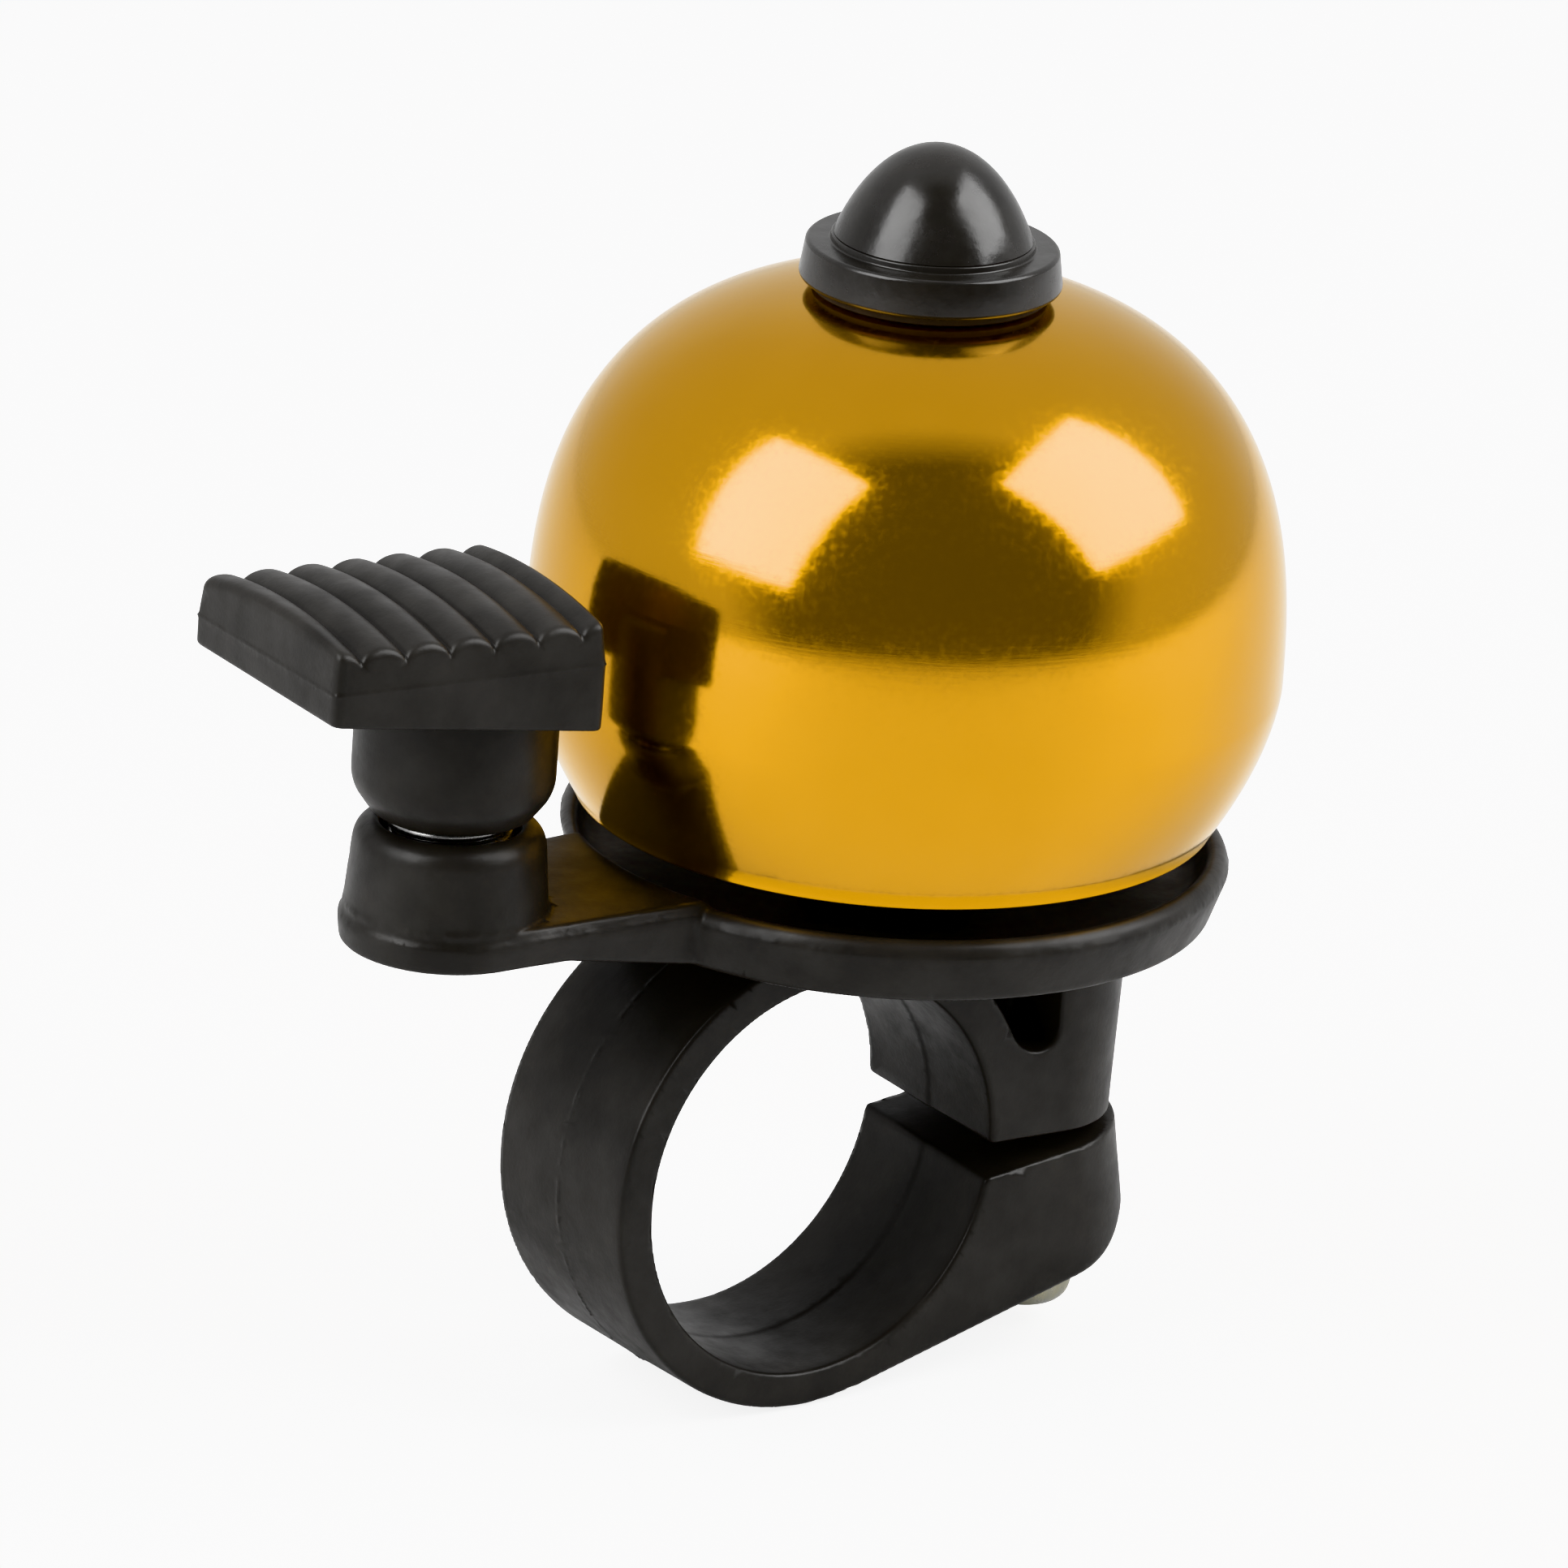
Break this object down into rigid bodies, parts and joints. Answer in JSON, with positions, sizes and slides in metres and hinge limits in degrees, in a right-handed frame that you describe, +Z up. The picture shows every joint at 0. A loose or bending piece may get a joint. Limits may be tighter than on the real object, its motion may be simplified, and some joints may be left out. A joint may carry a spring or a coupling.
{
  "type": "bicycle bell",
  "caption": "Flick bell for a handlebar: metal dome on a moulded base, thumb striker on a coil spring, split clamp with a screw",
  "frame": {"origin": "centre of the clamp bore, at the middle of the band's width", "axes": "+Y along the handlebar, +Z up through the dome and parallel to its axis, +X towards the clamp screw; the striker is on the -X side"},
  "size_m": [0.0617, 0.041, 0.0691],
  "materials": {
    "black_plastic": "satin moulded",
    "gold_dome": "polished and gold anodised",
    "fibre": "matte",
    "zinc_steel": "zinc plated",
    "spring_steel": "bright drawn wire"
  },
  "bodies": {
    "base": {"base_body": "black_plastic", "dome": "gold_dome", "dome_seat_washer": "fibre", "cap_washer": "fibre", "cap": "black_plastic", "centre_bolt": "zinc_steel", "clamp_nut": "zinc_steel"},
    "clamp_jaw": {"clamp_band": "black_plastic"},
    "clamp_screw": {"clamp_screw": "zinc_steel"},
    "spring": {"striker_spring": "spring_steel"},
    "striker": {"striker": "black_plastic"}
  },
  "joints": [
    {"name": "clamp_close", "type": "hinge", "parent": "base", "child": "clamp_jaw", "pos_m": [-0.0123, 0, -0.0006], "axis": [0, -1, 0], "range_deg": [0, 0.52]},
    {"name": "clamp_screw_turn", "type": "hinge", "parent": "clamp_jaw", "child": "clamp_screw", "pos_m": [0.0185, 0, -0.0098], "axis": [0, 0, 1], "range_deg": [0, 191]},
    {"name": "striker_pull", "type": "hinge", "parent": "base", "child": "spring", "pos_m": [-0.0264, 0, 0.02255], "axis": [0, 1, 0], "range_deg": [-28, 0], "stiffness_Nm_per_rad": 0.03, "springref_deg": 2.29, "deforming": ["striker_spring"]},
    {"name": "striker_strike", "type": "hinge", "parent": "spring", "child": "striker", "pos_m": [-0.0178, 0, 0.02255], "axis": [0, 1, 0], "range_deg": [0, 18.6], "stiffness_Nm_per_rad": 0.03, "springref_deg": -2.29}
  ],
  "couplings": [
    {"joint": "clamp_close", "follows": "clamp_screw_turn", "ratio": 0.0026177}
  ]
}
